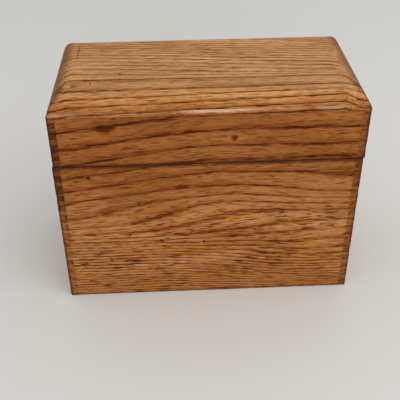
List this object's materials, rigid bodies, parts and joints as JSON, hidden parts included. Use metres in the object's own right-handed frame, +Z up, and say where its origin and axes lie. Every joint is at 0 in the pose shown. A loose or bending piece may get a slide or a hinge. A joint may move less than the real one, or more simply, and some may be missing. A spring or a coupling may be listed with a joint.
{
  "type": "hinged wooden box",
  "caption": "Finger-jointed oak box whose lid, sawn from the same carcass, has a thick solid top with rounded edges and turns on brass butt hinges at the back.",
  "frame": {"origin": "centre of the body's underside, on the surface that the box stands on", "axes": "+X to the right along the front, +Y towards the back where the hinges are, +Z up"},
  "size_m": [0.2228, 0.1179, 0.172],
  "materials": {
    "wall_oak": "satin varnish over aged golden oak, dark at the corners",
    "top_oak": "satin varnish over aged golden oak",
    "base_oak": "bare, aged",
    "brass": "tarnished",
    "steel": "dull, darkened"
  },
  "bodies": {
    "box": {"body_front": "wall_oak", "body_back": "wall_oak", "body_left": "wall_oak", "body_right": "wall_oak", "bottom_panel": "base_oak", "bottom_brads": "steel", "left_hinge_body_leaf": "brass", "left_hinge_pin": "steel", "left_hinge_body_screws": "brass", "right_hinge_body_leaf": "brass", "right_hinge_pin": "steel", "right_hinge_body_screws": "brass"},
    "lid": {"lid_front": "wall_oak", "lid_back": "wall_oak", "lid_left": "wall_oak", "lid_right": "wall_oak", "lid_top": "top_oak", "left_hinge_lid_leaf": "brass", "left_hinge_lid_screws": "brass", "right_hinge_lid_leaf": "brass", "right_hinge_lid_screws": "brass"}
  },
  "joints": [
    {"name": "lid_hinge", "type": "hinge", "parent": "box", "child": "lid", "pos_m": [0, 0.059, 0.1213], "axis": [-1, 0, 0], "range_deg": [0, 180]}
  ]
}
